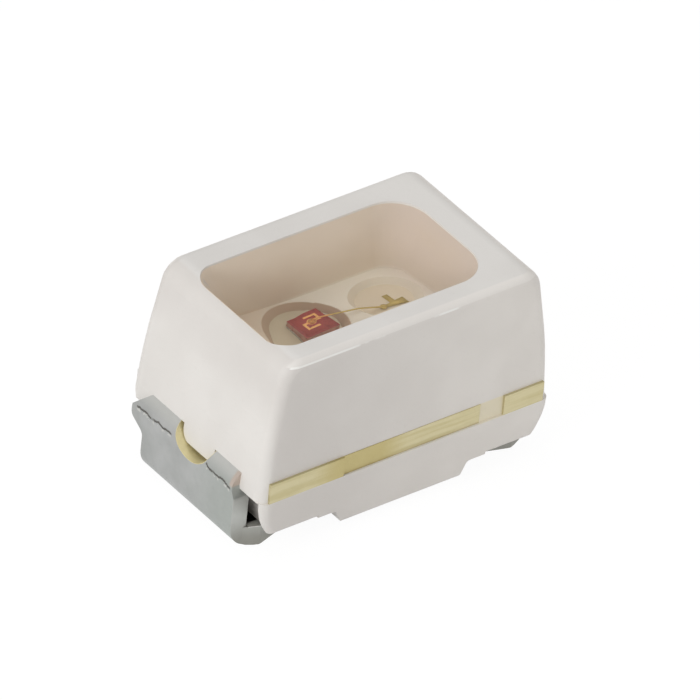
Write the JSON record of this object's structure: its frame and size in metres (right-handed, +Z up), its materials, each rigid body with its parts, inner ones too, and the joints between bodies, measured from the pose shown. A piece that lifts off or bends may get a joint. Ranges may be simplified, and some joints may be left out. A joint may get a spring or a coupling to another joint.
{
  "type": "surface-mount led",
  "caption": "Small white surface-mount LED: a moulded housing with a resin-filled cavity over a red chip and its gold bond wire, on two bent flat leads with solder faces underneath.",
  "frame": {"origin": "Bottom centre of the part's box, on the plane of the two solder faces.", "axes": "+X from the lead that carries the chip to the lead that takes the wire, along the package; +Y across it, so the view in the picture is from -X and -Y; +Z up, the way the light leaves. The picture doesn't show the marked corner, so the ends are told apart by the chip."},
  "size_m": [0.0024, 0.0014, 0.0014],
  "materials": {
    "moulding": "satin white, filled with white pigment",
    "lead_frame": "dull grey plating, bare copper alloy at the sheared edges",
    "glue": "silver-filled, satin",
    "chip": "dark red, sawn sides",
    "gold": "gold, satin",
    "resin": "clear, flat and glossy on top"
  },
  "bodies": {
    "root": {"housing": "moulding", "cathode_lead": "lead_frame", "anode_lead": "lead_frame", "die_attach": "glue", "led_chip": "chip", "chip_contact": "gold", "bond_wire": "gold", "encapsulant": "resin"}
  },
  "joints": []
}
